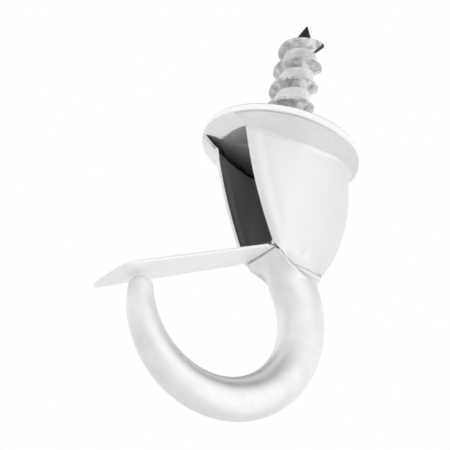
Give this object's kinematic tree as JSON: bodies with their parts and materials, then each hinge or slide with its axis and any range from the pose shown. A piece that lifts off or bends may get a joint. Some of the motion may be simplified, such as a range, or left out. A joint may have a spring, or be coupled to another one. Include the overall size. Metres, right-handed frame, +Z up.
{
  "type": "safety hook",
  "caption": "Screw-in safety hook: a round flange over a sheet hood and a tapered open ring, with a sprung flat gate that rests on the ring's rounded tip and swings up into the mouth.",
  "frame": {"origin": "Centre of the flange's flat top face, which seats on the wood, on the axis of the screw.", "axes": "+Z runs up the screw, into the wood; +X points out of the hook's mouth, towards the gate's free end; +Y is square to the plane of the ring."},
  "size_m": [0.0242, 0.016, 0.0457],
  "materials": {
    "plated_casting": "bright plating, softly polished",
    "plated_sheet": "bright plating on pressed sheet, finely grained on the flare",
    "plated_leaf": "bright plating on flat sheet",
    "pin_steel": "drawn wire, plain",
    "spring_steel": "drawn spring wire"
  },
  "bodies": {
    "body": {"hook": "plated_casting", "hood": "plated_sheet", "hinge_pin": "pin_steel", "gate_spring": "spring_steel"},
    "gate": {"gate": "plated_leaf"}
  },
  "joints": [
    {"name": "gate_hinge", "type": "hinge", "parent": "body", "child": "gate", "pos_m": [-0.0013, 0, -0.01109], "axis": [0, -1, 0], "range_deg": [0, 45], "stiffness_Nm_per_rad": 0.003, "springref_deg": -51.57, "deforming": ["gate_spring"]}
  ]
}
